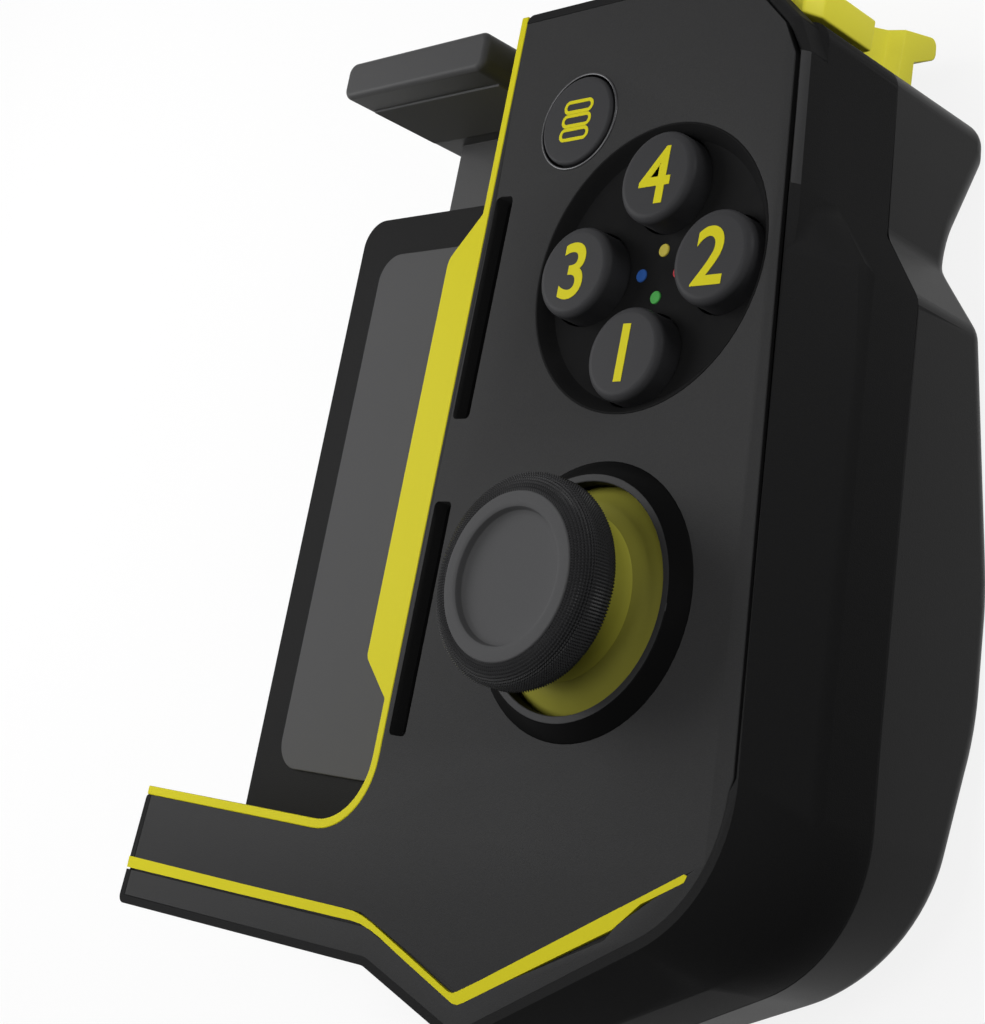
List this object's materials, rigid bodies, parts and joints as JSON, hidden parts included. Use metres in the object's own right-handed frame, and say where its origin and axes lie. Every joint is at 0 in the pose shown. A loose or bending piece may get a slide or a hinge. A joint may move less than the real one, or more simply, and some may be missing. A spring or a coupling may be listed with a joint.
{
  "type": "mobile game controller",
  "caption": "Right-hand grip of a phone game controller: thumb stick, face buttons, menu button, bumper, trigger and a sprung clamp with a cradle that hold a phone.",
  "frame": {"origin": "middle of the part's footprint, on the surface that it lies on", "axes": "+Z out of the button face, +Y towards the shoulder controls, +X towards the palm"},
  "size_m": [0.0814, 0.0986, 0.0372],
  "materials": {
    "shell": "fine matte moulding",
    "face": "fine matte moulding",
    "accent": "satin yellow",
    "key": "satin",
    "bright": "dark bright ring",
    "grip_rubber": "matte",
    "nylon": "natural",
    "metal": "plain",
    "steel": "plain",
    "board": "lacquered",
    "silicone": "soft",
    "cell": "wrapped",
    "dot_green": "satin",
    "dot_red": "satin",
    "dot_blue": "satin",
    "dot_yellow": "satin"
  },
  "bodies": {
    "grip": {"front_shell": "shell", "rear_shell": "shell", "face_plate": "face", "cradle_liner": "accent", "accent_stripe": "accent", "button_well": "shell", "stick_collar": "shell", "menu_ring": "bright", "stick_frame": "metal", "click_switch": "nylon", "bumper_pin": "steel", "bumper_switch": "nylon", "trigger_axle": "steel", "trigger_spring": "steel", "shoulder_bracket": "nylon", "back_plate": "shell", "back_cover": "shell", "cover_screws": "steel", "phone_pad": "grip_rubber", "clamp_spring": "steel", "main_board": "board", "button_domes": "silicone", "battery": "cell", "charge_socket": "metal", "dock_magnets": "metal", "housing_screws": "steel", "dot_green": "dot_green", "dot_red": "dot_red", "dot_blue": "dot_blue", "dot_yellow": "dot_yellow"},
    "clamp": {"clamp_jaw": "shell", "jaw_pad": "grip_rubber"},
    "menu_key": {"menu_button": "key"},
    "gimbal_outer": {"stick_yoke": "nylon"},
    "gimbal_inner": {"stick_block": "nylon"},
    "stick": {"stick_dome": "accent", "stick_stem": "accent", "stick_cap": "grip_rubber"},
    "bumper_lever": {"bumper": "accent"},
    "trigger_lever": {"trigger": "accent"},
    "key_bottom": {"button_bottom": "key"},
    "key_right": {"button_right": "key"},
    "key_left": {"button_left": "key"},
    "key_top": {"button_top": "key"}
  },
  "joints": [
    {"name": "clamp_slide", "type": "slide", "parent": "grip", "child": "clamp", "axis": [0, 1, 0], "range_m": [-0.008, 0.017], "stiffness_N_per_m": 200, "springref_m": -0.012, "deforming": ["clamp_spring"]},
    {"name": "menu_press", "type": "slide", "parent": "grip", "child": "menu_key", "axis": [0, 0, -1], "range_m": [0, 0.0006], "stiffness_N_per_m": 500},
    {"name": "stick_tilt_x", "type": "hinge", "parent": "grip", "child": "gimbal_outer", "pos_m": [0.0172, -0.01012, 0.019], "axis": [1, 0, 0], "range_deg": [-13, 13], "stiffness_Nm_per_rad": 0.03},
    {"name": "stick_tilt_y", "type": "hinge", "parent": "gimbal_outer", "child": "gimbal_inner", "pos_m": [0.0172, -0.01012, 0.019], "axis": [0, 1, 0], "range_deg": [-13, 13], "stiffness_Nm_per_rad": 0.03},
    {"name": "stick_click", "type": "slide", "parent": "gimbal_inner", "child": "stick", "axis": [0, 0, -1], "range_m": [0, 0.0005], "stiffness_N_per_m": 1500},
    {"name": "bumper_rock", "type": "hinge", "parent": "grip", "child": "bumper_lever", "pos_m": [0.00187, 0.04438, 0.02], "axis": [0, 0, -1], "range_deg": [0, 2.5], "stiffness_Nm_per_rad": 0.3},
    {"name": "trigger_pull", "type": "hinge", "parent": "grip", "child": "trigger_lever", "pos_m": [0.01737, 0.03598, 0.0146], "axis": [-1, 0, 0], "range_deg": [0, 12], "stiffness_Nm_per_rad": 0.05, "springref_deg": -5.73},
    {"name": "press_bottom", "type": "slide", "parent": "grip", "child": "key_bottom", "axis": [0, 0, -1], "range_m": [0, 0.0012], "stiffness_N_per_m": 400},
    {"name": "press_right", "type": "slide", "parent": "grip", "child": "key_right", "axis": [0, 0, -1], "range_m": [0, 0.0012], "stiffness_N_per_m": 400},
    {"name": "press_left", "type": "slide", "parent": "grip", "child": "key_left", "axis": [0, 0, -1], "range_m": [0, 0.0012], "stiffness_N_per_m": 400},
    {"name": "press_top", "type": "slide", "parent": "grip", "child": "key_top", "axis": [0, 0, -1], "range_m": [0, 0.0012], "stiffness_N_per_m": 400}
  ]
}
